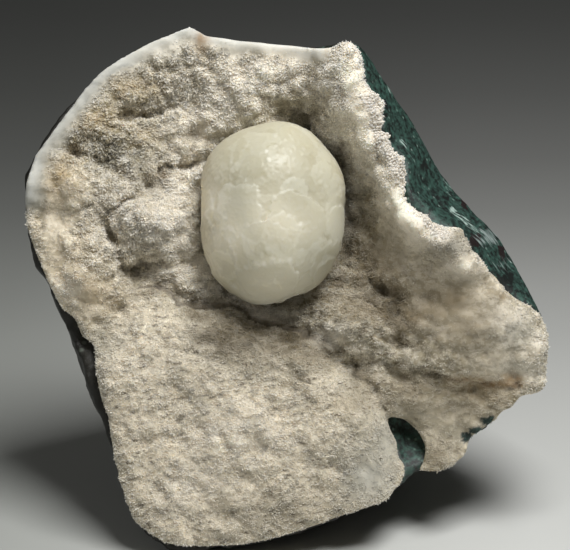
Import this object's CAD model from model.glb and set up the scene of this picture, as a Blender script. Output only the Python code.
# %% [markdown]
# # A ball of stellerite in a hollow of basalt
#
# The specimen is one lump of dark volcanic rock that was broken open. Its hollow was lined with
# a crust of fine crystals, and one ball of pale stellerite grew in the middle. This script
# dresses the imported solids: each is rebuilt as a skin of fine faces, which takes its place.

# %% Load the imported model
import math
from functools import partial

import bmesh
import bpy
import numpy as np
from mathutils import Matrix, Vector, noise
from mathutils.bvhtree import BVHTree


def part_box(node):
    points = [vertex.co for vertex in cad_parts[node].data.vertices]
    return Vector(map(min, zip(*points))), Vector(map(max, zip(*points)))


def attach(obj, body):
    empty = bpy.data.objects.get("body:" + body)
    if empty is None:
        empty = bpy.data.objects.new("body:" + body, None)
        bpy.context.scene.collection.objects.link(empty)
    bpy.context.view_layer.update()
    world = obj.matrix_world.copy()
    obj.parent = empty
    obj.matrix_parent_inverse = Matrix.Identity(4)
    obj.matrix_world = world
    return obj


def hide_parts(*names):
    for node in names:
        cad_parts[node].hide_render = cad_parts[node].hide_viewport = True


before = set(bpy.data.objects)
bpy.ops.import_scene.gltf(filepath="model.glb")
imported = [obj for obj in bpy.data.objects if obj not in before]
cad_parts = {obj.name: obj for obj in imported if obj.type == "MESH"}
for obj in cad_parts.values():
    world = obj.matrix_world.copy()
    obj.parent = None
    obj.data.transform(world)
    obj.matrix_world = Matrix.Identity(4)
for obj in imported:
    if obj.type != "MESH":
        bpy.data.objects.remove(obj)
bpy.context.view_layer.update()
MM = 0.001

# %% [markdown]
# ## Places on the broken face
#
# Everything on the hollow's face is easiest to place in the face's own frame: u to the right,
# v up the face, w out of it. The rock leans back, so a turn and a shift lead from that frame
# to the model's. Working in the face's frame keeps every stain and crack readable in mm.

# %% The face's own frame
LEAN_BACK = math.radians(20)
FACE_FOOT = Vector((-0.135, -29.293, 0))     # mm, where the face's lowest point stands
face_turn = Matrix.Rotation(math.pi / 2 - LEAN_BACK, 3, "X")


def from_face(u, v, w):
    """The point of the model at (u, v, w) of the face, which are millimetres."""
    return (face_turn @ Vector((u, v, w)) + FACE_FOOT) * MM


def out_of_face(w):
    """A move of w millimetres straight out of the face, as a move in the model."""
    return from_face(0, 0, w) - from_face(0, 0, 0)


def to_face(points):
    """Model points, one a row, as u, v and w in millimetres."""
    return (points / MM - np.array(FACE_FOOT)) @ np.array(face_turn)


ball_low, ball_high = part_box("stellerite_ball")
print("middle of the ball on the face, mm:",
      to_face(np.array([(ball_low + ball_high) / 2])).round(1).tolist())

# %% [markdown]
# ## The crust's skin
#
# The crust formed as one layer, so its body stays one piece. It could be a flat sheet with a
# bump map, but the real one is all clumps and gaps that throw shadows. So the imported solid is
# rebuilt by a voxel remesh, which gives small even faces whose vertices can be pushed in and
# out. A remesh tears a sheet that is thinner than its voxels, so the crust's back goes deeper
# into the rock first, where nobody sees it.

# %% Rebuild the crust as an even skin
CRUST_VOXEL = 0.66           # mm, the side of the skin's faces
BACKING = 5.0                # mm that the crust's back goes into the rock
WELL_INSIDE = 0.9            # mm under the rock's surface, where a point counts as covered
FACES_BACK = -0.1            # a normal with less than this out of the face looks back


def into_scene(name, data):
    """A new object with that data, linked to the scene."""
    made = bpy.data.objects.new(name, data)
    bpy.context.scene.collection.objects.link(made)
    return made


def built_piece(name, builder):
    """The faces of a builder as an object of their own, which ends the builder."""
    mesh = bpy.data.meshes.new(name)
    builder.to_mesh(mesh)
    builder.free()
    return into_scene(name, mesh)


def make_plain(piece):
    """Turn what the modifiers make into the piece's own mesh, and drop the modifiers."""
    graph = bpy.context.evaluated_depsgraph_get()
    mesh = bpy.data.meshes.new_from_object(piece.evaluated_get(graph))
    piece.modifiers.clear()
    piece.data = mesh
    return piece


def thicken_back(builder, cover):
    """Push the back of a sheet into the solid behind it, where that covers it."""
    builder.normal_update()
    behind = BVHTree.FromObject(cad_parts[cover], bpy.context.evaluated_depsgraph_get())
    for vertex in builder.verts:
        if (face_turn.transposed() @ vertex.normal)[2] > FACES_BACK:
            continue
        there = vertex.co + out_of_face(-BACKING)
        spot, normal, _, away = behind.find_nearest(there)
        if away > WELL_INSIDE * MM and (there - spot).dot(normal) < 0:
            vertex.co = there


def fine_skin(node, name, voxel, backed_by=None):
    """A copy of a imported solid, merged and rebuilt as a skin with faces of voxel mm."""
    builder = bmesh.new()
    builder.from_mesh(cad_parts[node].data)
    bmesh.ops.remove_doubles(builder, verts=builder.verts, dist=0.001 * MM)
    if backed_by:
        thicken_back(builder, backed_by)
    skin = built_piece(name, builder)
    rebuild = skin.modifiers.new("even skin", "REMESH")
    rebuild.mode = "VOXEL"
    rebuild.voxel_size = voxel * MM
    return make_plain(skin)


crust = fine_skin("druse_crust", "druse_crust_skin", CRUST_VOXEL, "basalt_matrix")
print("crust skin:", len(crust.data.polygons), "faces")


# %% Soften its facets
def rows(items, key):
    """One vector of each item of a mesh, such as a vertex, as the rows of an array."""
    values = np.empty(len(items) * 3, np.float32)
    items.foreach_get(key, values)
    return values.reshape(-1, 3).astype(float)


def write_points(mesh, points):
    """Move all vertices of a mesh."""
    mesh.vertices.foreach_set("co", points.astype(np.float32).ravel())
    mesh.update()


def edge_ends(mesh):
    """The first and the second vertex of every edge."""
    ends = np.empty(len(mesh.edges) * 2, np.int32)
    mesh.edges.foreach_get("vertices", ends)
    return ends.reshape(-1, 2).T


def relax(mesh, rounds):
    """Draw every vertex halfway to the mean of its neighbours, to round off facets."""
    first, second = edge_ends(mesh)
    points = rows(mesh.vertices, "co")
    count = np.bincount(first, minlength=len(points)) + np.bincount(second, minlength=len(points))
    for _ in range(rounds):
        total = np.zeros_like(points)
        np.add.at(total, first, points[second])
        np.add.at(total, second, points[first])
        points += 0.5 * (total / count[:, None] - points)
    write_points(mesh, points)


relax(crust.data, rounds=4)
print("height of the softened crust, mm:", round(crust.dimensions[2] / MM, 1))

# %% [markdown]
# The crust has a front with druse on it and, at the upper left, a rim that is a clean break
# through the layer. A mask marks such a region: one number from 0 to 1 for every vertex. NumPy
# works on all vertices at once, and some noise keeps a mask's border from being a straight line.

# %% Tell the front and the rim
FRONT_FACING = (0.05, 0.45)  # how squarely a face looks out, where the front begins and is full
RIM_POLISH = (1.0, 6.5)      # mm from the rim's path, fully smooth and no longer smooth
UPPER_LEFT_RIM = (
    (-61.9, 84), (-60, 94.3), (-56.4, 99.1), (-52.8, 103.9), (-48, 110.4), (-44.4, 114.2),
    (-39.6, 117.6), (-32.4, 121.4), (-26.4, 123.8), (-22.8, 125.3), (-19.2, 123), (-10.8, 121.7),
    (1.2, 120.5), (7.9, 119.5),
)


def smooth_step(values, low, high):
    """Rise smoothly from 0 at low to 1 at high."""
    t = np.clip((values - low) / (high - low), 0, 1)
    return t * t * (3 - 2 * t)


def grain(places, *layers, base=0):
    """Base plus layers of smooth noise: each its height, its swells' width in mm and its seed."""
    total = np.full(len(places), float(base))
    for height, size, seed in layers:
        offset = Vector((seed * 7.3, seed * 3.1, seed * 5.7))
        swells = [noise.noise(Vector(place) / size + offset) for place in places]
        total += height * np.array(swells)
    return total


def path_distance(places, path):
    """Distance in the face, in mm, from each place to an open path."""
    spots = places[:, :2]
    best = np.full(len(spots), np.inf)
    for start, end in zip(path, path[1:]):
        start, end = np.array(start), np.array(end)
        along = end - start
        share = np.clip(((spots - start) @ along) / (along @ along), 0, 1)
        away = np.linalg.norm(spots - (start + share[:, None] * along), axis=1)
        best = np.minimum(best, away)
    return best


def facing(mesh):
    """The normals of a mesh in the face's frame."""
    return rows(mesh.vertex_normals, "vector") @ np.array(face_turn)


crust_places = to_face(rows(crust.data.vertices, "co"))
crust_front = smooth_step(facing(crust.data)[:, 2], *FRONT_FACING)
rim_distance = path_distance(crust_places, UPPER_LEFT_RIM)
rim_wander = grain(crust_places, (1.6, 6, 1), (0.8, 1.5, 2))
rim_polish = 1 - smooth_step(rim_distance + rim_wander, *RIM_POLISH)
print("vertices on the front:", int(crust_front.sum()), "and on the rim:", int(rim_polish.sum()))

# %% [markdown]
# ## Ledges, pockets and domes
#
# Within the crust's main form lie smaller ones: ledges with dark gaps below them, pockets,
# and round humps where crystals grew thicker. Each is one soft oval swell, up or down, given by
# its place on the face, its half length and half width, its turn and its height. A list of
# swells is quick to read against the real thing, and to correct.

# %% Swells up and down
SWELLS = (
    # u, v, half length, half width, turn in degrees, height in mm
    (-34.8, 108.7, 8.4, 2.9, 12, 2), (-33.6, 104.2, 6, 1.1, 8, -2.4),
    (-44.4, 101.5, 6.7, 3.2, 15, 1.6), (-50.4, 95, 4.2, 1.2, -10, -2), (-42, 94.5, 4, 3.2, 0, 1.6),
    (-52.8, 85.9, 4.5, 6.5, 0, 1), (-22, 99.2, 1.6, 1.6, 0, -2.2), (-30, 88.3, 3.8, 1.4, 32, -0.9),
    (-37.2, 83.3, 5, 0.8, 25, -1.1), (-42, 75.6, 3.8, 1.2, -60, -1.6),
    (-47.3, 69.6, 5.5, 6, 0, 1.6), (-36, 66.2, 5.8, 1.9, -10, -0.9), (-31.5, 78.5, 9, 7.5, 0, 1.9),
    (-21.6, 63.1, 4, 4, 0, -0.6), (-46.8, 60.7, 3.6, 4.6, 0, 1), (-41, 56.6, 7, 0.9, 32, -0.4),
    (1.7, 106.8, 5.5, 2.8, -12, -1.6), (1.2, 110.8, 6.5, 1.6, 0, 1.2),
    (7.9, 99.8, 6, 2.2, -50, -1.2), (14.5, 103, 4.5, 8, 0, 0.7), (-12, 102, 13, 5, 0, 1.6),
    (7, 101, 5, 4, 0, 1.2), (-2, 107.5, 18, 5, 0, 2.6), (16.5, 92, 3.5, 9, 15, 1.6),
    (-15, 100, 6, 4, 0, 1), (-20, 96, 4, 4, 0, 1.2), (0, 113.5, 14, 3, 0, 1.5),
    (22.8, 56.5, 4, 2.6, -20, -2.6), (-3, 56.5, 5, 2.5, 0, 1.5), (11.5, 99, 3, 6, -15, 2),
    (15.4, 116.2, 3.2, 0.8, 70, -1), (23.8, 95.5, 7, 0.9, -65, -0.9),
    (42.5, 67.7, 4.2, 2.8, 0, 1.7), (49.2, 60.5, 3.5, 2.2, -30, 1.2),
    (43.5, 52.5, 13, 7.5, -25, 2.2), (39, 73, 4.5, 2, 0, 1), (17, 54, 6, 4.5, -10, 1),
)


def swell_height(places, swells):
    """Sum of soft ovals at each place of the face."""
    total = np.zeros(len(places))
    for u, v, long, wide, turn, height in swells:
        across, up = places[:, 0] - u, places[:, 1] - v
        cosine, sine = math.cos(math.radians(turn)), math.sin(math.radians(turn))
        along = (across * cosine + up * sine) / long
        aside = (up * cosine - across * sine) / wide
        total += height * np.exp(-(along ** 2 + aside ** 2))
    return total


swell = swell_height(crust_places, SWELLS)
print("swells from", swell.min().round(1), "to", swell.max().round(1), "mm")

# %% Crevices and one fine crack
CREVICES = (
    # path on the face, half width and depth in mm
    (((-34.8, 62.4), (-30.5, 62.6), (-27.1, 61.3), (-25.4, 58.8), (-19.4, 58.1), (-10.3, 57.2),
      (-6.2, 53.8), (3.6, 52.1), (14, 46), (21, 39), (24, 33)), 1, 0.4),
    (((18.5, 61.5), (22.5, 60.8), (24, 57.3), (24.8, 53.2), (26.2, 48.7)), 3, 2.4),
    (((33.6, 42.2), (40.8, 40.8), (49.2, 38.4), (54.5, 39.4)), 1, 0.6),
    (((-20.6, 93.4), (-28.3, 90.7), (-33.8, 86.4), (-40.3, 82.6)), 1.9, 1.8),
    (((-42.3, 68.9), (-37.2, 66.7), (-34, 67.2)), 2.1, 1.4),
    (((-2.4, 105.4), (4.5, 105.5), (6, 102), (9.5, 95)), 2.2, 0.4),
    (((12.7, 94.3), (14.6, 80.5), (15.6, 71.5), (12, 63.1)), 3, 0.9),
)
CRACK = (
    (-34.8, 62.4), (-30.5, 62.6), (-27.1, 61.3), (-25.4, 58.8), (-19.4, 58.1), (-13.9, 58.1),
    (-10.3, 57.2), (-6.2, 53.8), (3.6, 52.1), (7, 50.2),
)
CRACK_WIDTH = (0.25, 0.9)    # mm from its path, fully dark and gone


def crevice_depth(places, crevices):
    """How deep the crevices cut at each place, in mm, and how dark they are."""
    depth, dark = np.zeros(len(places)), np.zeros(len(places))
    for path, half_width, cut in crevices:
        inside = 1 - smooth_step(path_distance(places, path), 0, half_width)
        depth = np.maximum(depth, cut * inside)
        dark = np.maximum(dark, inside ** 2)
    return depth, dark


wander = crust_places.copy()
wander[:, 0] += grain(crust_places, (1.8, 5, 41), (0.7, 2, 42))
wander[:, 1] += grain(crust_places, (1.8, 5, 43), (0.7, 2, 44))
crevice, crevice_dark = crevice_depth(wander, CREVICES)
broken = np.clip(grain(crust_places, (0.9, 4, 45), base=0.65), 0.15, 1.2)
crevice_dark *= broken
crack = 1 - smooth_step(path_distance(0.6 * crust_places + 0.4 * wander, CRACK), *CRACK_WIDTH)
print("crevices are up to", (crevice * broken).max().round(1), "mm deep")

# %% The tall ridge, and bites out of the crust's edges
RIDGE_HALF, RIDGE_RISE = 7.0, 2.0     # mm, its half width and how far it rises
RIDGE = (
    (15, 115.5), (16.5, 113), (17.4, 107.9), (20.5, 103), (24.5, 96), (27.5, 88), (33, 79.5),
    (34.5, 78),
)
# each spot: u, v, half width, half height and the bite's depth in mm
EDGE_BITES = (
    (20, 110, 6, 6, 1.2), (25.5, 96, 7, 8, 2), (33, 82, 8, 8, 3.4), (38.5, 77, 4.5, 4.5, 3.2),
)
LEFT_BITES = ((-49, 46, 5, 11, 1.8),)


def spots_mask(places, spots):
    """How strongly each place lies in soft round spots: u, v, half width, half height, strength."""
    mask = np.zeros(len(places))
    for u, v, half_width, half_height, strength in spots:
        square = ((places[:, 0] - u) / half_width) ** 2 + ((places[:, 1] - v) / half_height) ** 2
        mask = np.maximum(mask, strength * np.exp(-square))
    return mask


def pushed(mesh, lift):
    """The points of a mesh, each moved along its normal by its lift in mm."""
    return rows(mesh.vertices, "co") + rows(mesh.vertex_normals, "vector") * (lift * MM)[:, None]


ridge_rise = RIDGE_RISE * (1 - smooth_step(path_distance(crust_places, RIDGE), 0, RIDGE_HALF))
points = pushed(crust.data, (swell - crevice * broken + ridge_rise) * crust_front)
points[:, 0] -= spots_mask(crust_places, EDGE_BITES) * MM
points[:, 0] += spots_mask(crust_places, LEFT_BITES) * MM
write_points(crust.data, points)
crust_places = to_face(points)
print("the crust now stands out to w =", crust_places[:, 2].max().round(1), "mm")

# %% [markdown]
# Where druse grew, the crust is all clumps: rounded heads a few millimetres wide with sharp
# gaps between. Cells give heads with gaps, and smooth noise makes them unlike each other. The
# clumps are strong at the upper left, shallow on the lower half, and nearly gone where the
# crust is smooth.

# %% Raise the clumps
# each spot: u, v, half width, half height, strength
POLISHED_SPOTS = (
    (-38, 115, 5, 3.5, 0.65), (-29, 119.5, 6.5, 3.2, 0.8), (-58.5, 92, 2.5, 5, 0.6),
    (20, 17.5, 6, 6, 0.75), (24.5, 25, 3, 7, 0.7), (56, 52, 6, 5, 0.6), (57, 42, 6, 4, 0.6),
    (39.5, 72.5, 4.5, 2.6, 0.6),
)
CALM_SPOTS = (
    (-55, 78, 4.5, 16, 0.8), (-52.8, 85.9, 5, 7, 0.6), (-46.8, 60.7, 4.5, 5, 0.6),
    (27, 74, 9, 16, 0.9), (42, 58, 16, 15, 0.95), (50, 45, 12, 9, 0.9), (40, 33, 16, 9, 0.5),
    (18, 106, 4, 12, 0.5), (-22, 100, 5, 4, 0.3),
)
CELL_MIDDLE = 0.45           # the mean distance within a cell, which neither rises nor sinks
LOWER_BORDER = (44, 58)      # mm up the face, where the calmer lower half is full and ends
BORDER_FALL = 0.35           # mm that this border falls for each mm to the right
CALM_LOSS, LOWER_LOSS = 0.8, 0.72     # share of the clumps that calm parts and the lower half lose
LEFT_WHEN_SMOOTH = 0.12      # share of the clumps that even the smoothest front keeps


def cells(places, size, seed):
    """Distance to the nearest of scattered points, in cells of size mm."""
    offset = Vector((seed * 4.1, seed * 9.7, seed * 2.3))
    return np.array([noise.voronoi(Vector(place) / size + offset)[0][0] for place in places])


crust_polish = np.maximum(rim_polish, spots_mask(crust_places, POLISHED_SPOTS))
crust_calm = spots_mask(crust_places, CALM_SPOTS)
crust_rough = (1 - crust_polish) * (1 - CALM_LOSS * crust_calm) * crust_front
lower_half = 1 - smooth_step(crust_places[:, 1] + BORDER_FALL * crust_places[:, 0], *LOWER_BORDER)
clump_height = 1.9 * (CELL_MIDDLE - cells(crust_places, 3.4, 3))      # clumps of 3.4 mm
clump_height += 1.6 * (CELL_MIDDLE - cells(crust_places, 7.5, 4))     # on humps of 7.5 mm
clump_height += grain(crust_places, (0.6, 2.1, 5))
clump_height *= 1 - LOWER_LOSS * lower_half
clump_height += grain(crust_places, (0.32, 1.2, 7))
lift = clump_height * (LEFT_WHEN_SMOOTH + (1 - LEFT_WHEN_SMOOTH) * crust_rough) * crust_front
points = pushed(crust.data, lift)
write_points(crust.data, points)
crust_places = to_face(points)
print("clumps rise and fall by mm:", lift.min().round(2), lift.max().round(2))

# %% [markdown]
# ## Stains and dirt on the crust
#
# The crust isn't one colour: iron has stained patches tan, fine dust greys the pockets, and the
# deep hollows go brown. These are colour only, so nothing is raised. Each stain is a named
# list of soft spots in millimetres on the face, kept on the skin as a number that the crystals
# scattered over it inherit, so both change colour together.

# %% Places of the stains
STAIN_SPOTS = {
    # u, v, half width, half height, strength
    "tan": (
        (-54.8, 88, 5, 6.5, 1), (-45.4, 102.7, 6, 3.2, 0.8), (-36.5, 111, 8, 3.8, 0.75),
        (-50, 66, 8, 10, 0.35), (-46, 61.5, 6.5, 4.5, 0.6), (-20.2, 122, 1.6, 2.6, 1),
        (54, 40.8, 2.6, 1.5, 1), (47, 38, 9, 2.6, 0.6), (40, 60, 4, 5, 0.4), (14, 35, 4, 2, 0.35),
        (-52, 72, 5, 3, 0.4), (-34, 98.5, 5, 2.5, 0.35),
    ),
    "grey": (
        (-31, 107.5, 6.5, 6, 0.7), (-42, 94, 5.5, 4.5, 1), (-35.5, 92.5, 5, 4, 0.7),
        (-42, 78, 3, 5, 0.5), (-36, 67, 4, 3, 0.3), (42, 29, 12, 8, 0.9), (37, 22, 5, 5, 1),
        (20, 20, 8, 10, 0.9), (-44, 49.5, 5, 6, 1), (11, 119.5, 5, 3, 0.9), (-10, 24, 28, 14, 0.1),
        (39, 72, 5, 2.6, 0.3), (31, 44, 8, 6, 0.6),
    ),
    "brown": (
        (5, 104.5, 6, 3, 0.2), (-31.5, 88.3, 4, 3, 0.9), (-22, 99.2, 2.4, 2, 0.9),
        (22.8, 56.5, 5, 3.2, 1), (6, 46, 8, 3.5, 0.5), (37, 73, 4, 3, 0.4), (17, 72, 5.5, 10, 0.6),
        (26, 57, 4, 7, 0.8), (-20, 56, 5, 3, 0.8), (23.5, 56, 3, 3, 1), (-31, 62, 4.5, 2.4, 1),
        (-35.5, 88.5, 4.5, 3, 0.7), (36, 57, 12, 5, 0.6), (30, 55, 7, 4, 0.9),
        (-13.5, 51.5, 8.5, 5, 1), (-1, 50.5, 10, 4, 1), (9, 60, 9, 5, 0.6), (22, 66, 9, 5, 0.7),
        (-51, 96.5, 3.2, 1.8, 0.8), (-32.5, 104.8, 5, 1.3, 0.7),
    ),
    "beige": (
        (6, 46.5, 9, 5, 0.7), (18.5, 39, 5, 7, 0.7), (29, 38.5, 8, 6, 0.9), (39, 73.5, 7, 4.5, 1),
        (44, 52, 12, 8, 0.9), (46, 35, 14, 9, 0.6), (-8, 45, 12, 3.5, 0.6), (0, 9, 24, 6, 0.4),
        (36, 22, 6, 5, 0.8), (23, 70, 8, 11, 0.8), (36, 59, 17, 11, 0.85), (48.7, 62, 3, 2.5, 0.9),
        (46, 47, 14, 8, 0.6), (17, 57, 10, 8, 0.8),
    ),
    "shade": (
        (-12, 50.5, 9, 4, 1.4), (1, 49.8, 8, 3.4, 1.2), (22.5, 60.9, 4, 1.8, 1),
        (25.5, 56.5, 2.2, 4, 1), (27, 51, 1.8, 3.6, 1), (-31.5, 88.3, 2.8, 2, 0.9),
        (-22, 99.2, 1.8, 1.8, 0.9), (-20.4, 56, 3, 2.2, 0.9),
    ),
    "white": (
        (42.5, 67.8, 4.5, 2.6, 1), (52.5, 55.5, 2.5, 2.5, 0.5), (11.5, 50.8, 4, 2.6, 0.9),
        (17, 92, 3.5, 8, 0.9), (-3, 56.5, 6, 2.2, 0.9), (-18, 62, 4, 3, 0.6),
        (-52.5, 62, 4, 3.5, 0.7), (11, 99, 3, 5.5, 1), (14.5, 84, 2.5, 8, 0.7),
        (-39.5, 79.5, 4.5, 3, 0.9), (-12, 27, 14, 6, 0.7), (-22, 16, 9, 6, 0.6),
        (55.7, 55.4, 1.8, 2, 0.6), (60.5, 48.7, 2, 2.6, 0.6), (-28, 78, 8.5, 8, 0.9),
        (-6, 112.5, 16, 7, 0.95), (-29, 119, 7, 3, 0.3), (8, 111, 9, 5, 0.9),
        (13.5, 102, 4, 8, 0.9), (-14, 104, 13, 6, 0.95), (-38, 79, 11, 9, 0.6),
        (-22, 68, 10, 4.5, 0.8), (-24, 88, 7, 9, 0.8), (-14, 32, 16, 9, 0.35), (-46, 72, 8, 8, 0.2),
        (-34, 43, 8, 7, 0.3), (4, 105, 5, 3, 0.5),
    ),
    "rust": (
        (-19.8, 121.6, 1.8, 3, 1), (54.6, 40.6, 2.6, 1.3, 1), (43.5, 40.5, 5, 0.8, 0.8),
        (51, 39.3, 6, 0.8, 1), (55.5, 39.2, 2, 0.8, 1), (52, 60.5, 1.2, 0.8, 0.6),
        (-29.5, 89.8, 2.2, 1.4, 0.5),
    ),
    "chip": ((43.8, 26.4, 2.4, 1.6, 1), (46.2, 28, 2.8, 1.6, 1), (48.6, 30.6, 1.8, 1.6, 1)),
}
spots = {name: spots_mask(crust_places, listed) for name, listed in STAIN_SPOTS.items()}
print("spots of each stain:", {name: len(listed) for name, listed in STAIN_SPOTS.items()})

# %% Mark the stains and the kinds of druse
COMB = ((20, 107.5), (22.5, 98.9), (28.5, 87.5), (35.4, 77.5), (37, 75.5))
COMB_BORDER = (0.6, 2.6)     # mm from that path, full and gone
RIDGE_BORDER = (4, 8)        # mm from the ridge's path, fully white and no longer
EDGE_BORDER = (0.3, 3)       # mm from the rim's path, the pale broken edge
CHIP_BORDER = (0.5, 0.66)    # strength at which a chip begins and is full
CREVICE_BROWN = 0.7          # how brown the bottom of a crevice is
CREVICE_SHADE = 0.3          # how dark a crevice must be before dirt shows in it


def store(mesh, name, values):
    """Keep one number a vertex, which a material or Geometry Nodes can read by name."""
    attribute = mesh.attributes.get(name) or mesh.attributes.new(name, "FLOAT", "POINT")
    attribute.data.foreach_set("value", np.asarray(values, np.float32))


mottle = grain(crust_places, (0.5, 4, 11), (0.35, 1.5, 13), base=0.75)
ridge_distance = path_distance(crust_places, RIDGE) + grain(crust_places, (1.5, 3, 15))
comb = 1 - smooth_step(path_distance(crust_places, COMB) + 0.6 * rim_wander, *COMB_BORDER)
marks = {
    "tan": spots["tan"] * mottle,
    "grey": spots["grey"] * mottle,
    "brown": np.maximum(spots["brown"] * mottle, CREVICE_BROWN * crevice_dark),
    "beige": spots["beige"],
    "shade": np.maximum(spots["shade"] * mottle, crevice_dark - CREVICE_SHADE),
    "white": np.maximum(spots["white"], 1 - smooth_step(ridge_distance, *RIDGE_BORDER)),
    "rust": spots["rust"] * grain(crust_places, (0.6, 1.2, 49), base=0.8),
    "chip": smooth_step(spots["chip"] + grain(crust_places, (0.4, 1.1, 47)), *CHIP_BORDER),
    "edge": 1 - smooth_step(rim_distance + 0.5 * rim_wander, *EDGE_BORDER),
    "polish": crust_polish,
    "crack": crack,
    "comb": comb,
    "pitted": 1 - crust_calm,
    "calm": np.maximum(crust_calm, 0.75 * lower_half),
    "tip": np.maximum(np.clip(0.5 + 0.5 * np.clip(clump_height, -1, 1), 0, 1), crust_calm),
}
for name, values in marks.items():
    store(crust.data, name, np.clip(values, 0, 1))
print("share of the crust with each mark:",
      {name: float(values.mean().round(2)) for name, values in marks.items()})

# %% [markdown]
# ## The druse material
#
# Sugary druse is clear crystal crowded so close that it looks white: light enters, scatters and
# comes out pale at the tips, while dust and shade darken the gaps. The material starts from an
# IOR of 1.5 and scatters light about a millimetre below the surface. Its gloss is dull, because
# the small faces point every way. The colour runs from gap to tip, and the stains are mixed in
# from the stored numbers, the later ones over the earlier.
#
# Colours are picked as sRGB hex values, as on a screen, but a renderer adds up light, so one
# function turns them to linear values. Another adds a node with its settings and links, which
# keeps each material short enough to read as a recipe.


# %% Colours, nodes and an empty material
def srgb(code):
    """A hex colour as linear red, green, blue and alpha."""
    shares = [int(code[start:start + 2], 16) / 255 for start in (1, 3, 5)]
    linear = [c / 12.92 if c <= 0.04045 else ((c + 0.055) / 1.055) ** 2.4 for c in shares]
    return (*linear, 1.0)


def feed(node, inputs):
    """Give inputs of a node their links or their values."""
    for socket, value in inputs.items():
        if isinstance(value, bpy.types.NodeSocket):
            node.id_data.links.new(value, node.inputs[socket])
        else:
            node.inputs[socket].default_value = value


def add_node(tree, kind, inputs=None, out=0, **settings):
    """Add a node with settings and links, and give back one of its outputs."""
    made = tree.nodes.new(kind)
    for name, value in settings.items():
        setattr(made, name, value)
    feed(made, inputs or {})
    return made.outputs[out] if len(made.outputs) else made


def new_material(name):
    """A material, the function that adds nodes to it, and its Principled shader."""
    material = bpy.data.materials.new(name)
    material.use_nodes = True
    tree = material.node_tree
    return material, partial(add_node, tree), tree.nodes["Principled BSDF"]


def per(size):
    """The scale of a pattern whose cells or swells are that many millimetres wide."""
    return 1 / (size * MM)


print("a middle grey of a screen as linear light:", round(srgb("#808080")[0], 3))


# %% The pattern of pits between crystals
PIT_WIDTH = 1.4              # mm from one small pit between crystals to the next
PIT_EDGE = (0.36, 0.52)      # noise at a pit's bottom and where crystals stand close


def frost_pattern(add, place):
    """1 where crystals stand close, down to 0 in the small pits between them."""
    streaked = add("ShaderNodeVectorMath", {0: place, 1: (0.8, 1, 1.15)}, operation="MULTIPLY")
    frost = add("ShaderNodeTexNoise", {
        "Vector": streaked, "Scale": per(PIT_WIDTH), "Detail": 4, "Roughness": 0.65}, "Fac")
    return add("ShaderNodeMapRange", {
        "Value": frost, "From Min": PIT_EDGE[0], "From Max": PIT_EDGE[1]})


print("pattern scale for the pits:", round(per(PIT_WIDTH)), "to the metre")

# %% Make the druse material
DRUSE_GAP, DRUSE_TIP, DRUSE_PORE = "#a89b7b", "#fcf2dd", "#62553f"
PORE_SPACING = 1.6           # mm between the small dark pores of the crust
PORE_EDGE = (0.34, 0.43)     # noise within a pore and just outside it
PORE_STRENGTH = 0.8
CLOUD_WIDTH = 6.0            # mm, the width of soft light and dark clouds
STAINS = (
    # stored number, how strongly it shows, colour
    ("grey", 0.7, "#8f8a78"), ("tan", 0.75, "#b3965f"), ("beige", 0.8, "#7f7257"),
    ("brown", 0.8, "#685838"), ("shade", 0.75, "#54492f"), ("polish", 0.75, "#aaaba4"),
    ("edge", 0.6, "#d9dad4"), ("white", 0.95, "#fff6e4"), ("comb", 0.6, "#d6cbbd"),
    ("rust", 0.8, "#94713f"), ("chip", 1, "#22332e"), ("crack", 0.65, "#3d3427"),
)

# Clear, colourless crystals grown together by the thousand: to the eye a sugary cream white,
# pale at the tips and brownish in the gaps, with a dull shine and soft, glowing edges.
druse, add, shader = new_material("druse, clear crystals grown together")
read = {name: add("ShaderNodeAttribute", None, "Fac", attribute_name=name)
        for name in ("tip", "calm", "glint", "pitted", *(stain[0] for stain in STAINS))}
place = add("ShaderNodeTexCoord", None, "Object")
fuller = add("ShaderNodeMath", {0: read["tip"], 1: 0.7, 2: 0.5}, operation="MULTIPLY_ADD")
pale = add("ShaderNodeMath", {0: frost_pattern(add, place), 1: fuller},
           operation="MULTIPLY", use_clamp=True)
smooth = add("ShaderNodeMath", {0: read["calm"], 1: 0.75}, operation="MULTIPLY")
pale = add("ShaderNodeMath", {0: pale, 1: smooth}, operation="MAXIMUM")
colour = add("ShaderNodeMix", {0: pale, 6: srgb(DRUSE_GAP), 7: srgb(DRUSE_TIP)}, 2,
             data_type="RGBA")
flat = add("ShaderNodeVectorMath", {0: place, 1: (0.55, 1, 1.3)}, operation="MULTIPLY")
pores = add("ShaderNodeTexNoise", {
    "Vector": flat, "Scale": per(PORE_SPACING), "Detail": 3, "Roughness": 0.7}, "Fac")
pore = add("ShaderNodeMapRange", {"Value": pores, "From Min": PORE_EDGE[0],
                                  "From Max": PORE_EDGE[1], "To Min": PORE_STRENGTH, "To Max": 0})
pore = add("ShaderNodeMath", {0: pore, 1: read["pitted"]}, operation="MULTIPLY")
colour = add("ShaderNodeMix", {0: pore, 6: colour, 7: srgb(DRUSE_PORE)}, 2, data_type="RGBA")
for name, strength, code in STAINS:
    share = add("ShaderNodeMath", {0: read[name], 1: strength}, operation="MULTIPLY",
                use_clamp=True)
    colour = add("ShaderNodeMix", {0: share, 6: colour, 7: srgb(code)}, 2, data_type="RGBA")
cloud = add("ShaderNodeTexNoise", {"Vector": place, "Scale": per(CLOUD_WIDTH), "Detail": 4}, "Fac")
spread = add("ShaderNodeMath", {0: cloud, 1: 0.3, 2: 0.8}, operation="MULTIPLY_ADD")
flash = add("ShaderNodeMath", {0: read["glint"], 1: 0.1, 2: spread}, operation="MULTIPLY_ADD")
bright = add("ShaderNodeHueSaturation", {"Value": flash, "Color": colour})
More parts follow.
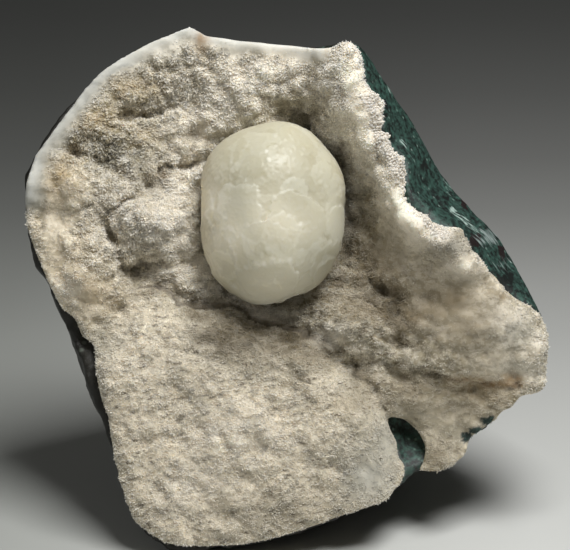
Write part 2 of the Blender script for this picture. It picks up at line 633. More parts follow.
feed(shader, {"Base Color": bright, "Roughness": 0.7, "IOR": 1.5, "Subsurface Weight": 0.85,
              "Subsurface Radius": (1, 0.94, 0.84), "Subsurface Scale": 1.3 * MM})


def dress(piece, material):
    """Give a piece one material and smooth shading."""
    piece.data.materials.clear()
    piece.data.materials.append(material)
    piece.data.shade_smooth()


dress(crust, druse)
print("material:", druse.name, "with", len(STAINS), "stains")

# %% [markdown]
# ## The crystals of the druse
#
# Tens of thousands of crystals stand on the crust, most of them about half a millimetre wide.
# Placing them by hand is out of the question, and they follow one rule: they root in the crust,
# crowd into small heads and point roughly away from it. Geometry Nodes do that: points are
# strewn over the skin, the pit pattern lifts those in the middle of a head, and a crystal with
# its own size and turn is set on each. Eight faces a crystal at most keep the count low.


# %% Three small crystals to repeat
def crystal(name, sides, girth, height, lean):
    """A stubby crystal that ends in a point above and one below, in the crust."""
    builder = bmesh.new()
    point = builder.verts.new((lean, 0.4 * lean, height))
    root = builder.verts.new((0, 0, -0.6))
    ring = []
    for index in range(sides):
        turn = 2 * math.pi * index / sides
        out = girth * (1 + 0.18 * math.cos(3 * index))
        ring.append(builder.verts.new((out * math.cos(turn), out * math.sin(turn), 0.12)))
    for index in range(sides):
        after = ring[(index + 1) % sides]
        builder.faces.new((ring[index], after, point))
        builder.faces.new((after, ring[index], root))
    return built_piece(name, builder)


CRYSTALS = (
    crystal("four sided point", 4, 0.42, 0.85, 0.16),
    crystal("three sided wedge", 3, 0.50, 0.70, 0.30),
    crystal("four sided blade", 4, 0.34, 1.10, 0.06),
)
print("crystals to repeat:", [len(item.data.polygons) for item in CRYSTALS], "faces each")

# %% What every tree shares
DENSEST = 2.0e7              # points a square metre, far more than the spacing lets stand


def new_tree(name, inputs):
    """A Geometry Nodes tree with named inputs: it, what adds nodes to it, and its inputs."""
    tree = bpy.data.node_groups.new(name, "GeometryNodeTree")
    for label, kind in inputs.items():
        tree.interface.new_socket(label, in_out="INPUT", socket_type="NodeSocket" + kind)
    tree.interface.new_socket("Made", in_out="OUTPUT", socket_type="NodeSocketGeometry")
    add = partial(add_node, tree)
    return tree, add, add("NodeGroupInput").node.outputs


def end_tree(add, placed, material):
    """End a tree: its instances become real faces and get their material."""
    real = add("GeometryNodeRealizeInstances", {"Geometry": placed})
    dressed = add("GeometryNodeSetMaterial", {"Geometry": real, "Material": material})
    add("NodeGroupOutput", {0: dressed})


def grow_on(tree, skin, name, settings):
    """Run the tree on a copy of a skin, and keep what it makes as a plain piece."""
    carrier = into_scene(name, skin.data)
    modifier = carrier.modifiers.new("grown", "NODES")
    modifier.node_group = tree
    for item in tree.interface.items_tree:
        if item.item_type == "SOCKET" and item.in_out == "INPUT" and item.name in settings:
            modifier[item.identifier] = settings[item.name]
    return make_plain(carrier)


def triangle_count(piece):
    """How many triangles a piece has."""
    piece.data.calc_loop_triangles()
    return len(piece.data.loop_triangles)


print("triangles of the bare crust:", triangle_count(crust))

# %% The tree that strews crystals over a skin
SHAPE_RANGE = ((0.65, 0.65, 0.6), (1.35, 1.35, 1.4))     # least and most of width, width, height
HEAD_LEVEL = 0.75            # of the pit pattern, where a head neither rises nor sinks

strew, add, given = new_tree("strew crystals", {
    "Skin": "Geometry", "Spacing": "Float", "Size": "Float", "Tilt": "Float",
    "Head Height": "Float", "Zone": "Int", "Seed": "Int", "Material": "Material"})
grow, coarse = (add("GeometryNodeInputNamedAttribute", {"Name": name}, data_type="FLOAT")
                for name in ("grow", "coarse"))
zone = add("GeometryNodeInputNamedAttribute", {"Name": "zone"}, data_type="INT")
here = add("FunctionNodeCompare", {2: zone, 3: given["Zone"]}, data_type="INT", operation="EQUAL")
strewn = add("GeometryNodeDistributePointsOnFaces", {
    "Mesh": given["Skin"], "Selection": here, "Distance Min": given["Spacing"],
    "Density Max": DENSEST, "Density Factor": grow, "Seed": given["Seed"],
}, distribute_method="POISSON").node.outputs
place = add("GeometryNodeInputPosition")
above = add("ShaderNodeMath", {0: frost_pattern(add, place), 1: HEAD_LEVEL}, operation="SUBTRACT")
rise = add("ShaderNodeMath", {0: above, 1: given["Head Height"]}, operation="MULTIPLY")
shift = add("ShaderNodeVectorMath", {0: strewn["Normal"], "Scale": rise}, operation="SCALE")
lifted = add("GeometryNodeSetPosition", {"Geometry": strewn["Points"], "Offset": shift})
back = add("ShaderNodeMath", {0: given["Tilt"], 1: -1}, operation="MULTIPLY")
low = add("ShaderNodeCombineXYZ", {"X": back, "Y": back})
high = add("ShaderNodeCombineXYZ", {"X": given["Tilt"], "Y": given["Tilt"], "Z": 2 * math.pi})
turn = add("FunctionNodeRandomValue", {0: low, 1: high, "Seed": given["Seed"]},
           data_type="FLOAT_VECTOR")
turned = add("FunctionNodeRotateRotation", {
    0: strewn["Rotation"], 1: add("FunctionNodeEulerToRotation", {0: turn})},
    rotation_space="LOCAL")
shape = add("FunctionNodeRandomValue", {0: SHAPE_RANGE[0], 1: SHAPE_RANGE[1], "Seed": 7},
            data_type="FLOAT_VECTOR")
size = add("ShaderNodeMath", {0: given["Size"], 1: coarse}, operation="MULTIPLY")
scaled = add("ShaderNodeVectorMath", {0: shape, "Scale": size}, operation="SCALE")
kinds = add("GeometryNodeJoinGeometry")
for item in CRYSTALS:
    shown = add("GeometryNodeObjectInfo", {"Object": item, "As Instance": True}, "Geometry")
    strew.links.new(shown, kinds.node.inputs[0])
placed = add("GeometryNodeInstanceOnPoints", {
    "Points": lifted, "Instance": kinds, "Pick Instance": True, "Rotation": turned,
    "Scale": scaled})
glint = add("FunctionNodeRandomValue", {"Seed": 19}, 1, data_type="FLOAT")
kept = add("GeometryNodeStoreNamedAttribute", {
    "Geometry": placed, "Name": "glint", "Value": glint}, data_type="FLOAT", domain="INSTANCE")
end_tree(add, kept, given["Material"])
print("tree:", strew.name, "with", len(strew.nodes), "nodes")

# %% Strew the crystals
GRAIN_SPACING, GRAIN_SIZE = 0.31 * MM, 0.56 * MM
HEAD_HEIGHT = 0.3 * MM
GRAIN_TILT = 0.8             # radians at most, away from straight out
ZONE_NAMES = ("lower_left", "lower_right", "upper_left", "upper_right")
ZONE_BORDERS = (-8.0, 58.0)  # mm on the face, so that no piece gets too many triangles
COARSE_SPOTS = ((-41.5, 93.5, 6, 5, 0.7), (-28, 108, 9, 7, 0.35), (-38, 74, 8, 8, 0.2))
BARE_FROM, BARE_FULLY = 0.3, 0.95     # how smooth the crust is where crystals thin out and end

crust_grow = crust_front * (1 - smooth_step(crust_polish, BARE_FROM, BARE_FULLY))
crust_grow *= (1 - 0.6 * crust_calm) * (1 - 0.5 * comb) * (1 - 0.8 * crack)
store(crust.data, "grow", crust_grow)
crust_coarse = 1.1 + spots_mask(crust_places, COARSE_SPOTS) - 0.25 * lower_half
crust_coarse += grain(crust_places, (0.25, 3, 17))
crust_coarse *= 1 - 0.5 * crust_calm
store(crust.data, "coarse", crust_coarse * (0.5 + 0.5 * crust_grow))
right, upper = (crust_places[:, :2] > ZONE_BORDERS).astype(np.int32).T
zones = crust.data.attributes.new("zone", "INT", "POINT")
zones.data.foreach_set("value", right + 2 * upper)
druse_pieces = []
for index, zone_name in enumerate(ZONE_NAMES):
    piece = grow_on(strew, crust, "druse_crystals_" + zone_name, {
        "Spacing": GRAIN_SPACING, "Size": GRAIN_SIZE, "Tilt": GRAIN_TILT,
        "Head Height": HEAD_HEIGHT, "Zone": index, "Seed": 5 + index, "Material": druse})
    druse_pieces.append(piece)
    print(piece.name, triangle_count(piece), "triangles")
for item in CRYSTALS:
    bpy.data.objects.remove(item)

# %% [markdown]
# Along the broken edge of the tall ridge the crust shows its inside: a comb of slender crystals
# that stand side by side across the edge. They follow a path, so Geometry Nodes lay them: each
# point near the path gets one needle that points outwards across it. The way across the path
# is worked out here and stored on the skin as a vector.

# %% The way across the ridge's edge
COMB_BACK = -0.9             # how far a needle points back into the face, for one across it
comb_across = np.zeros((len(crust_places), 3))
best_away = np.full(len(crust_places), np.inf)
for start, end in zip(COMB, COMB[1:]):
    away = path_distance(crust_places, (start, end))
    outward = Vector((end[1] - start[1], start[0] - end[0], 0)).normalized() * -1
    outward[2] = COMB_BACK
    comb_across[away < best_away] = face_turn @ outward
    best_away = np.minimum(best_away, away)
across = crust.data.attributes.new("across", "FLOAT_VECTOR", "POINT")
across.data.foreach_set("vector", comb_across.astype(np.float32).ravel())
print("the comb's path is", round(sum(math.dist(*pair) for pair in zip(COMB, COMB[1:]))), "mm long")

# %% Lay the comb over the ridge's edge
needle = crystal("comb needle", 5, 0.5, 1, 0)
lay, add, given = new_tree("lay a comb", {
    "Skin": "Geometry", "Spacing": "Float", "Length": "Float", "Width": "Float",
    "Wander": "Float", "Seed": "Int", "Material": "Material"})
marked = add("GeometryNodeInputNamedAttribute", {"Name": "comb"}, data_type="FLOAT")
way = add("GeometryNodeInputNamedAttribute", {"Name": "across"}, data_type="FLOAT_VECTOR")
strewn = add("GeometryNodeDistributePointsOnFaces", {
    "Mesh": given["Skin"], "Distance Min": given["Spacing"], "Density Max": DENSEST,
    "Density Factor": marked, "Seed": given["Seed"]}, distribute_method="POISSON").node.outputs
back = add("ShaderNodeMath", {0: given["Wander"], 1: -1}, operation="MULTIPLY")
low, high = (add("ShaderNodeCombineXYZ", {"X": side, "Y": side, "Z": side})
             for side in (back, given["Wander"]))
stray = add("FunctionNodeRandomValue", {0: low, 1: high, "Seed": given["Seed"]},
            data_type="FLOAT_VECTOR")
aim = add("ShaderNodeVectorMath", {0: way, 1: stray}, operation="ADD")
turned = add("FunctionNodeAlignRotationToVector", {"Vector": aim}, axis="Z")
longer = add("FunctionNodeRandomValue", {2: 0.7, 3: 1.2, "Seed": 3}, 1, data_type="FLOAT")
length = add("ShaderNodeMath", {0: given["Length"], 1: longer}, operation="MULTIPLY")
size = add("ShaderNodeCombineXYZ", {"X": given["Width"], "Y": given["Width"], "Z": length})
shown = add("GeometryNodeObjectInfo", {"Object": needle, "As Instance": True}, "Geometry")
placed = add("GeometryNodeInstanceOnPoints", {
    "Points": strewn["Points"], "Instance": shown, "Rotation": turned, "Scale": size})
end_tree(add, placed, given["Material"])
comb_needles = grow_on(lay, crust, "druse_comb_needles", {
    "Spacing": 0.6 * MM, "Length": 0.75 * MM, "Width": 0.9 * MM, "Wander": 0.3, "Seed": 3,
    "Material": druse})
bpy.data.objects.remove(needle)
druse_pieces.append(comb_needles)
print(comb_needles.name, triangle_count(comb_needles), "triangles")

# %% [markdown]
# ## The ball of stellerite
#
# Stellerite grows as blades that spread from a point, and crowded fans close into a ball. Seen
# from the ball's middle, each part of its skin lies in one direction only, so the skin is one
# sphere whose vertices go out along their own rays. How far they go adds up from three sizes:
# the main lobes grown into each other, the shallow steps where one fan's end lies over the
# next, and the small tips of the blades. That gives overlapping edges without any cutting.

# %% The main lobes
LOBES = (
    # u, v, w and radius, all in mm
    (-3, 85.6, -0.4, 17.2), (-3.2, 75.6, 0.8, 16.4), (-8.6, 88.2, 0.8, 11.9),
    (-0.6, 91.6, 1.5, 10.9), (4.6, 86.4, 2, 10.4), (9.6, 83.6, -4.5, 5.8), (-10.4, 74.4, 2, 9.5),
    (-4.6, 81, 6, 11.4), (3.9, 76.2, 2.6, 10.6), (-2.6, 71.4, 5.4, 10.6), (2.2, 70.4, 0.6, 9),
    (-5.6, 66.6, 0.8, 8.7), (-9.5, 69.5, 0.5, 9), (3, 80.5, 3.2, 11.2), (-9.5, 80.5, 2.6, 11),
)
BALL_MIDDLE = np.array((-3.1, 79.5, 0.5))
LOBE_BLEND = 2.2             # mm over which one lobe flows into the next
LOBE_INSET = 1.0             # mm, since the blend makes the whole that much larger
lobe_centres = np.array([lobe[:3] for lobe in LOBES]) - BALL_MIDDLE
lobe_radii = np.array([lobe[3] for lobe in LOBES])


def reach_of(rays, centres, radii, blend=0):
    """How far rays from the origin go to leave some spheres, rounded where they meet."""
    best = np.zeros(len(rays))
    for centre, radius in zip(centres, radii):
        along = rays @ centre
        inside = radius ** 2 - centre @ centre + along ** 2
        hit = np.where(inside > 0, along + np.sqrt(np.maximum(inside, 0)), 0)
        if blend:
            share = np.clip(0.5 + 0.5 * (hit - best) / blend, 0, 1)
            best += share * (hit - best) + blend * share * (1 - share)
        else:
            best = np.maximum(best, hit)
    return best


def lobes_reach(rays):
    """The ball's main lobes, grown into each other."""
    return reach_of(rays, lobe_centres, lobe_radii, LOBE_BLEND) - LOBE_INSET


print("lobes reach out to the right by mm:", lobes_reach(np.array([(1.0, 0.0, 0.0)])).round(1))

# %% The fans' ends
FAN_COUNT = 130
FAN_HALVES = (0.24, 0.46)    # radians, half of a fan's end seen from the ball's middle
FAN_STEPS = (0.06, 0.34)     # mm that the end's edge stands up
FAN_EDGE = 0.92              # of its half width, where a fan's end begins to drop
FAN_RAGGED = ((0.18, 1.7, 51), (0.34, 5.5, 53))     # how ragged a fan's edge is, fine and coarse
MEAN_REACH = 18.0            # mm, the ball's mean radius
GOLDEN_ANGLE = math.pi * (3 - math.sqrt(5))
dice = np.random.default_rng(42)


def strewn_rays(count, twist, stray):
    """Directions spread evenly over a sphere, each moved a little by chance."""
    index = np.arange(count)
    height = 1 - 2 * (index + 0.5) / count
    ring = np.sqrt(1 - height ** 2)
    turn = index * GOLDEN_ANGLE + twist
    rays = np.stack((ring * np.cos(turn), ring * np.sin(turn), height), axis=1)
    rays += dice.normal(0, stray, rays.shape)
    return rays / np.linalg.norm(rays, axis=1)[:, None]


fan_rays = strewn_rays(FAN_COUNT, 0.4, 0.07)
fan_halves = dice.uniform(*FAN_HALVES, FAN_COUNT)
fan_steps = dice.uniform(*FAN_STEPS, FAN_COUNT)
fan_steps *= 0.7 + 2 * smooth_step(-fan_rays[:, 1], -0.3, 0.4)    # crisper on the lower lobe
fan_tones = dice.uniform(0, 1, FAN_COUNT)


def fan_ends(rays):
    """Height of the topmost fan end along each ray, in mm, and that fan's tone."""
    ragged = grain(rays * MEAN_REACH, *FAN_RAGGED, base=1)
    height = np.zeros(len(rays))
    tone = np.full(len(rays), 0.5)
    for ray, half, step, own_tone in zip(fan_rays, fan_halves, fan_steps, fan_tones):
        share = np.arccos(np.clip(rays @ ray, -1, 1)) / half * ragged
        own = step * (0.5 + 0.5 * share ** 2) * (1 - smooth_step(share, FAN_EDGE, 1))
        over = own > height
        height[over] = own[over]
        tone[over] = own_tone
    return height, tone


print("steps between fans are", fan_steps.min().round(2), "to", fan_steps.max().round(2), "mm")

# %% Shape the ball's skin
BLADE_COUNT = 2600
BLADE_RADII = (0.9, 2.0)     # mm
BLADE_RISES = (-0.08, 0.08)  # mm above the fans' ends
blade_rays = strewn_rays(BLADE_COUNT, 1.1, 0.7 / math.sqrt(BLADE_COUNT))
blade_radii = dice.uniform(*BLADE_RADII, BLADE_COUNT)
blade_rises = dice.uniform(*BLADE_RISES, BLADE_COUNT)
blade_depth = lobes_reach(blade_rays) + fan_ends(blade_rays)[0] + blade_rises - blade_radii
blade_centres = blade_rays * blade_depth[:, None]
bpy.ops.mesh.primitive_ico_sphere_add(subdivisions=7, radius=1)
ball = bpy.context.object
ball.name = "stellerite_fans"
rays = rows(ball.data.vertices, "co")
rays /= np.linalg.norm(rays, axis=1)[:, None]
fan_height, fan_tone = fan_ends(rays)
reach = np.maximum(lobes_reach(rays) + fan_height, reach_of(rays, blade_centres, blade_radii))
ball_places = BALL_MIDDLE + rays * reach[:, None]
write_points(ball.data, np.array([from_face(*place) for place in ball_places]))
print("ball:", triangle_count(ball), "triangles, reach in mm", reach.min().round(1),
      reach.max().round(1))

# %% Mark its glints and its milky parts
# each spot: u, v, half width, half height, strength
GLINT_SPOTS = (
    (-12, 89, 1.6, 2.2, 0.9), (-8.5, 87.5, 2, 2.6, 0.9), (8, 93, 1, 1, 0.9),
    (-17.5, 76.5, 1.2, 1.4, 0.9), (-7.5, 68.5, 0.9, 1.6, 0.8), (-5, 93, 5, 3, 0.4),
)
MILKY_SPOTS = ((-15, 73, 8, 9, 1), (-4, 63, 10, 7, 0.8), (-18, 82, 5, 9, 0.9), (-3, 78, 11, 6, 0.6))
store(ball.data, "sparkle", spots_mask(ball_places, GLINT_SPOTS))
store(ball.data, "fan_tone", fan_tone)
store(ball.data, "milk", spots_mask(ball_places, MILKY_SPOTS))
print("glossier spots:", len(GLINT_SPOTS), "and milkier ones:", len(MILKY_SPOTS))

# %% [markdown]
# The stellerite itself is milky and pearly. Light goes several millimetres into it, so a solid
# colour would look like plaster: the material scatters light below the surface, with a soft
# gloss on top. Its warmth varies a little from fan to fan, and each blade tip tilts its own
# way, which a fine cell pattern in the bump stands for.

# %% Make the stellerite material
STELLERITE_WARM, STELLERITE_COOL, STELLERITE_MILK = "#b9b296", "#c4c2b2", "#f2ecd8"
BLADE_TIP = 1.1              # mm, the width of one blade's tip
WARMTH_WIDTH = 9             # mm, the width of warmer and cooler clouds
LIGHT_DEPTH = 9 * MM         # how far light goes in

# Massed blades of a clear zeolite: to the eye a milky, pearly body with a faint green warmth,
# soft light from within, and a gloss that is sharp only on the few faces that catch the light.
stellerite, add, shader = new_material("stellerite, milky and pearly")
place = add("ShaderNodeTexCoord", None, "Object")
tone, milk, sparkle = (add("ShaderNodeAttribute", None, "Fac", attribute_name=name)
                       for name in ("fan_tone", "milk", "sparkle"))
cloud = add("ShaderNodeTexNoise", {"Vector": place, "Scale": per(WARMTH_WIDTH),
                                   "Detail": 5}, "Fac")
either = add("ShaderNodeMath", {0: tone, 1: cloud}, operation="ADD")
share = add("ShaderNodeMapRange", {"Value": either, "From Max": 2})
colour = add("ShaderNodeMix", {0: share, 6: srgb(STELLERITE_WARM), 7: srgb(STELLERITE_COOL)}, 2,
             data_type="RGBA")
colour = add("ShaderNodeMix", {0: milk, 6: colour, 7: srgb(STELLERITE_MILK)}, 2, data_type="RGBA")
level = add("ShaderNodeMapRange", {"Value": tone, "To Min": 0.92, "To Max": 1.03})
colour = add("ShaderNodeHueSaturation", {"Value": level, "Color": colour})
blades = add("ShaderNodeTexVoronoi", {"Vector": place, "Scale": per(BLADE_TIP)}, "Distance")
bump = add("ShaderNodeBump", {"Height": blades, "Strength": 0.3, "Distance": 0.25 * MM})
gloss = add("ShaderNodeMapRange", {"Value": sparkle, "To Min": 0.5, "To Max": 0.15})
feed(shader, {"Base Color": colour, "Normal": bump, "Roughness": gloss, "IOR": 1.49,
              "Subsurface Weight": 1, "Subsurface Radius": (1, 0.97, 0.85),
              "Subsurface Scale": LIGHT_DEPTH})
dress(ball, stellerite)
ball.data.set_sharp_from_angle(angle=math.radians(38))
print("material:", stellerite.name)

# %% [markdown]
# ## The rock
#
# The basalt is broken all round. Its left edge and back are raw grey-black rock, while the side
# at the right is an old surface with a dark green clay skin, scraped and chipped at its edge.
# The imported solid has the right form, so its skin only needs grain: swells, small flakes and
# pits, more on raw rock and less on the clay skin. Under the crust the rock is pushed back, so
# that it never shows through the crust's gaps.

# %% Rebuild the rock
ROCK_VOXEL = 0.95            # mm, the side of the skin's faces
LOOK_FROM, LOOK_REACH = 3.0, 12.0     # mm behind a vertex where a look begins, and how far it goes
LOOKS_OUT = 0.1              # a normal with more than this out of the face looks out


def hidden_under(mesh, looks, cover):
    """How surely each vertex lies under another piece, from 0 at its edge to 1 well inside."""
    above = BVHTree.FromObject(cover, bpy.context.evaluated_depsgraph_get())
    outward = out_of_face(1).normalized()
    covered = np.zeros(len(mesh.vertices))
    for vertex in mesh.vertices:
        if looks[vertex.index][2] > LOOKS_OUT:
            start = vertex.co - outward * LOOK_FROM * MM
            covered[vertex.index] = above.ray_cast(start, outward, LOOK_REACH * MM)[0] is not None
    first, second = edge_ends(mesh)
    for _ in range(4):
        eroded = covered.copy()
        np.minimum.at(eroded, first, covered[second])
        np.minimum.at(eroded, second, covered[first])
        covered = 0.5 * (covered + eroded)
    return covered


rock = fine_skin("basalt_matrix", "basalt_rock", ROCK_VOXEL)
relax(rock.data, rounds=2)
rock_places = to_face(rows(rock.data.vertices, "co"))
rock_facing = facing(rock.data)
sunk = hidden_under(rock.data, rock_facing, crust)
print("rock skin:", triangle_count(rock), "triangles,", int((sunk > 0).sum()), "vertices hidden")

# %% Give the rock its grain
DARK_SIDE = ((17, 121), (24, 108), (33, 93), (44, 78), (52, 68), (62, 54))
CLAY_BORDER = (9, 15)        # mm from that path, fully clay and no longer clay
FOOT_HEIGHT = 0.6            # mm, below which the flat foot stays flat
MOST_LIFT = 0.5              # mm
CLAY_LOSS = 0.6              # share of the grain that clay smooths over
SINK = 4.0                   # mm that the rock goes back under the crust

skin_side = 1 - smooth_step(path_distance(rock_places, DARK_SIDE), *CLAY_BORDER)
skin_side *= smooth_step(rock_facing[:, 0] * 0.8 + rock_facing[:, 2], -0.1, 0.5)
rock_lift = grain(rock_places, (0.55, 5, 23), (0.3, 2, 25))
rock_lift += 0.5 * (cells(rock_places, 7, 21) - CELL_MIDDLE)
rock_lift *= 1 - CLAY_LOSS * skin_side
rock_lift[rows(rock.data.vertices, "co")[:, 2] < FOOT_HEIGHT * MM] = 0
rock_points = pushed(rock.data, np.minimum(rock_lift, MOST_LIFT))
rock_points += sunk[:, None] * np.array(out_of_face(-SINK))
rock_points[:, 2] = np.maximum(rock_points[:, 2], 0)
write_points(rock.data, rock_points)
rock_places = to_face(rock_points)
print("the rock's grain goes from", rock_lift.min().round(2), "to", MOST_LIFT, "mm")

# %% Mark the clay skin and the chipped edge
SCRAPES = (
    # path on the face, half width in mm, strength
    (((28.3, 97.2), (31.7, 92.6)), 0.7, 0.45), (((37.2, 90.7), (42, 82.3)), 0.7, 0.45),
    (((40.8, 81.1), (46.8, 76.6)), 0.9, 0.48), (((22.3, 114.2), (28.3, 106.6)), 0.6, 0.5),
    (((37.2, 93.1), (39.6, 89.5)), 0.7, 0.45), (((31, 104), (34.5, 98)), 0.7, 0.4),
    (((50.2, 76.1), (54, 73.2), (55.9, 68.6)), 0.7, 0.5),
)
# each spot: u, v, half width, half height, strength
CHIPPED_SPOTS = ((49, 74.5, 6, 4, 0.55), (52.5, 68, 3.5, 4.5, 0.45))
RED_SPOTS = ((43.9, 82.8, 1.6, 1.6, 0.8), (45.6, 73.9, 2.2, 2.2, 0.8), (52.8, 71, 1.3, 2.4, 0.8))
BLACK_SPOTS = (
    (24, 106, 3, 5, 0.5), (33, 92, 4, 4, 0.5), (53, 64.5, 4, 4.5, 0.6), (38, 84, 3, 3, 0.5),
)
NOTCH_SPOTS = ((29, 27, 9, 10, 1.5),)
NOTCH_GREY = ((32.5, 22.5, 2.2, 3.6, 0.4),)
FADE = 2.4                   # times its half width from a scrape's path, where it has faded out

ragged = grain(rock_places, (0.9, 1.6, 31))
scraped = np.zeros(len(rock_places))
for path, half_width, strength in SCRAPES:
    away = path_distance(rock_places, path) + 0.4 * ragged
    scraped = np.maximum(scraped, strength * (1 - smooth_step(away, half_width, FADE * half_width)))
skin_side = np.maximum(skin_side, np.clip(spots_mask(rock_places, NOTCH_SPOTS), 0, 1))
scraped = np.maximum(scraped, spots_mask(rock_places, NOTCH_GREY) * (1 + ragged))
store(rock.data, "clay", skin_side)
store(rock.data, "scraped", scraped * np.clip(grain(rock_places, (1.3, 5, 33), base=0.6), 0, 1))
for name, listed in (("red", RED_SPOTS), ("black", BLACK_SPOTS)):
    store(rock.data, name, smooth_step(spots_mask(rock_places, listed) + 0.5 * ragged, 0.3, 0.7))
store(rock.data, "chipped", spots_mask(rock_places, CHIPPED_SPOTS))
print("clay skin on", int(skin_side.sum()), "of", len(skin_side), "vertices")

# %% [markdown]
# Two looks share one material. Raw basalt is nearly black, a little brown, with specks where
# gas bubbles were filled by pale minerals. The clay skin is deep green, darker in patches, and
# shows light green where something scraped it. Scrapes are long and thin, so their noise is
# stretched along one direction.

# %% Raw basalt and its clay skin
BASALT_WIDTH = 4.5           # mm, the width of darker and browner areas
CRUMB_WIDTH = 1.4            # mm, the width of one crumb of clay
CRUMB_EDGE = (0.42, 0.62)    # noise between crumbs and on them

# Fine grained lava, broken: to the eye nearly black and lightless, with a faint satin sheen.
# Clay that lined the old surface: deep bottle green, crumbly, with paler flecks.
basalt, add, shader = new_material("basalt with green clay skin")
place = add("ShaderNodeTexCoord", None, "Object")
read = {name: add("ShaderNodeAttribute", None, "Fac", attribute_name=name)
        for name in ("clay", "scraped", "chipped", "red", "black")}
coarse = add("ShaderNodeTexNoise", {"Vector": place, "Scale": per(BASALT_WIDTH),
                                    "Detail": 6}, "Fac")
raw = add("ShaderNodeMix", {0: coarse, 6: srgb("#080907"), 7: srgb("#2c2a22")}, 2,
          data_type="RGBA")
crumbs = add("ShaderNodeTexNoise", {
    "Vector": place, "Scale": per(CRUMB_WIDTH), "Detail": 8, "Roughness": 0.75}, "Fac")
blotch = add("ShaderNodeMapRange", {
    "Value": crumbs, "From Min": CRUMB_EDGE[0], "From Max": CRUMB_EDGE[1]})
green = add("ShaderNodeMix", {0: blotch, 6: srgb("#08100d"), 7: srgb("#3a5a50")}, 2,
            data_type="RGBA")
SPECKS = (
    # colour under it, mm from speck to speck, its size in cells, its strength and colour
    (raw, 5.9, (0.08, 0.14), 0.7, "#5f665c"), (green, 2.3, (0.1, 0.2), 0.6, "#7f978c"),
)
specked = []
for under, spacing, (full, gone), strength, code in SPECKS:
    away = add("ShaderNodeTexVoronoi", {"Vector": place, "Scale": per(spacing)}, "Distance")
    share = add("ShaderNodeMapRange", {"Value": away, "From Min": full, "From Max": gone,
                                       "To Min": strength, "To Max": 0})
    specked.append(add("ShaderNodeMix", {0: share, 6: under, 7: srgb(code)}, 2,
                       data_type="RGBA"))
raw, green = specked
print("material:", basalt.name, "with", len(SPECKS), "kinds of specks")

# %% Its scrapes and chips
STREAK_TURN = math.radians(53)        # along the rock's edge
STREAK_WIDTH, STREAK_LENGTH = 0.8, 6  # mm, and how many times as long as wide
TORN_EDGE = (0.92, 1.1)      # a mark's strength and its noise, where it begins and is full
turned = add("ShaderNodeMapping", {"Vector": place, "Rotation": (0, STREAK_TURN, 0),
                                   "Scale": (STREAK_LENGTH, 1, 1)}, vector_type="TEXTURE")
streaks = add("ShaderNodeTexNoise", {"Vector": turned, "Scale": per(STREAK_WIDTH),
                                     "Detail": 4}, "Fac")
for name, pattern, code in (("black", crumbs, "#0d1512"), ("red", crumbs, "#1c1110"),
                            ("chipped", streaks, "#8f9c98"), ("scraped", streaks, "#a9beb5")):
    torn = add("ShaderNodeMath", {0: read[name], 1: pattern}, operation="ADD")
    share = add("ShaderNodeMapRange", {
        "Value": torn, "From Min": TORN_EDGE[0], "From Max": TORN_EDGE[1]})
    green = add("ShaderNodeMix", {0: share, 6: green, 7: srgb(code)}, 2, data_type="RGBA")
colour = add("ShaderNodeMix", {0: read["clay"], 6: raw, 7: green}, 2, data_type="RGBA")
swells = add("ShaderNodeBump", {"Height": coarse, "Strength": 0.5, "Distance": 0.6 * MM})
bump = add("ShaderNodeBump", {"Height": crumbs, "Strength": 0.6, "Distance": 0.4 * MM,
                              "Normal": swells})
feed(shader, {"Base Color": colour, "Normal": bump, "Roughness": 0.5, "IOR": 1.55})
dress(rock, basalt)
print("streaks are", STREAK_LENGTH, "times as long as wide")

# %% [markdown]
# ## Join the pieces to the model
#
# Every visible piece rides on the one body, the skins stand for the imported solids, and each
# names the slot that it takes its finish from.

# %% Ride, replace and name the slots
for piece in (crust, ball, rock, *druse_pieces):
    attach(piece, "root")
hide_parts("druse_crust")
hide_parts("stellerite_ball")
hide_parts("basalt_matrix")
print("pieces:", [piece.name for piece in (crust, ball, rock, *druse_pieces)])

# %% [markdown]
# ## Floor, light and camera
#
# The specimen stands on a pale sheet that sweeps up behind it and darkens with height, as a
# graded studio sheet does. One soft light hangs above and a little to the right. A small weak
# one at the front left gives the ball its glints, and a grey sky fills the shadows. A long lens
# looks straight at the leaning face.

# %% The sheet
FLOOR_HALF = 0.9             # all in metres
SWEEP_START = 0.22
SWEEP_RADIUS = 0.35
SWEEP_TOP = 0.7
SWEEP_STEPS = 12             # flat strips in the sweep
profile = [(-FLOOR_HALF, 0), (SWEEP_START, 0)]
for step in range(1, SWEEP_STEPS + 1):
    turn = math.pi / 2 * step / SWEEP_STEPS
    profile.append((SWEEP_START + SWEEP_RADIUS * math.sin(turn),
                    SWEEP_RADIUS * (1 - math.cos(turn))))
profile.append((SWEEP_START + SWEEP_RADIUS, SWEEP_TOP))
builder = bmesh.new()
lines = [[builder.verts.new((x, y, z)) for x in (-FLOOR_HALF, FLOOR_HALF)] for y, z in profile]
for low, high in zip(lines, lines[1:]):
    builder.faces.new((low[0], low[1], high[1], high[0]))
studio_sheet = built_piece("studio_sheet", builder)
print("sheet:", len(studio_sheet.data.polygons), "faces")

# %% The sheet's paper
FADE_DEPTH = (-0.05, 0.42)   # metres back, where the paper begins to darken and is darkest
FADE_ACROSS = (-0.08, 0.06)  # metres to the right, from its greyer to its paler side

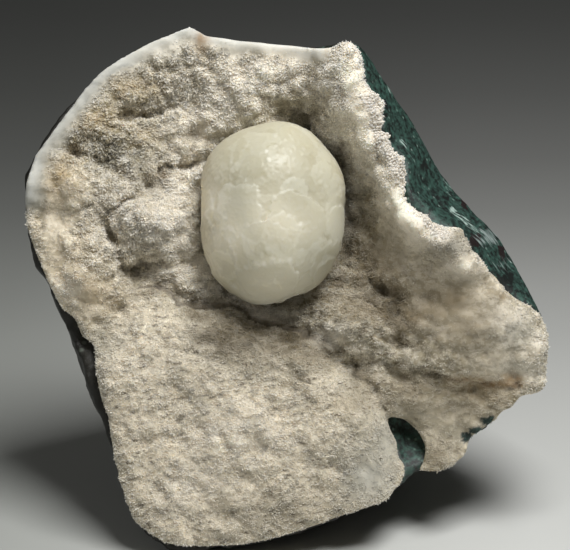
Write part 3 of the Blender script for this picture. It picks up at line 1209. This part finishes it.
# Matt paper: to the eye an even grey without shine, paler in front and dark at the back.
paper, add, shader = new_material("graded paper sheet")
place = add("ShaderNodeTexCoord", None, "Object")
side, depth = (add("ShaderNodeSeparateXYZ", {0: place}, axis) for axis in "XY")
far = add("ShaderNodeMapRange", {"Value": depth, "From Min": FADE_DEPTH[0],
                                 "From Max": FADE_DEPTH[1]}, interpolation_type="SMOOTHSTEP")
across = add("ShaderNodeMapRange", {
    "Value": side, "From Min": FADE_ACROSS[0], "From Max": FADE_ACROSS[1]})
near = add("ShaderNodeMix", {0: across, 6: srgb("#a3a5a0"), 7: srgb("#c9cac6")}, 2,
           data_type="RGBA")
colour = add("ShaderNodeMix", {0: far, 6: near, 7: srgb("#292a28")}, 2, data_type="RGBA")
feed(shader, {"Base Color": colour, "Roughness": 0.7})
dress(studio_sheet, paper)
print("material:", paper.name)

# %% Lights
MIDDLE = Vector((0, 0, 0.06))         # of the specimen


def soft_light(name, place, size, power):
    """A square soft light that looks from place to the specimen's middle."""
    lamp = bpy.data.lights.new(name, "AREA")
    lamp.shape = "SQUARE"
    lamp.size = size
    lamp.energy = power
    holder = into_scene(name, lamp)
    holder.location = place
    aim = MIDDLE - Vector(place)
    holder.rotation_euler = aim.to_track_quat("-Z", "Y").to_euler()


soft_light("key overhead", (0.14, -0.18, 0.61), 0.30, 4.6)
soft_light("fill at the left", (-0.40, -0.32, 0.40), 0.08, 0.3)
world = bpy.data.worlds.new("studio")
bpy.context.scene.world = world
world.use_nodes = True
feed(world.node_tree.nodes["Background"], {0: srgb("#908f8b"), 1: 0.22})
bpy.context.scene.view_settings.view_transform = "Standard"
print("lights:", [lamp.name for lamp in bpy.data.lights])

# %% The camera
CAMERA_DISTANCE = 750        # mm from the face
LOOK_AT = 65.5               # mm up the face, the middle of the picture
PIXEL = 0.24                 # mm of the face that one pixel of the picture shows
FRAME_WIDTH = 570
lens = bpy.data.cameras.new("long lens")
lens.sensor_width = 36
lens.lens = lens.sensor_width * CAMERA_DISTANCE / (PIXEL * FRAME_WIDTH)
lens.clip_start = 0.05
camera = into_scene("long lens", lens)
camera.location = from_face(0, LOOK_AT, CAMERA_DISTANCE)
camera.rotation_euler = (math.pi / 2 - LEAN_BACK, 0, 0)
bpy.context.scene.camera = camera
print("lens:", round(lens.lens, 1), "mm")
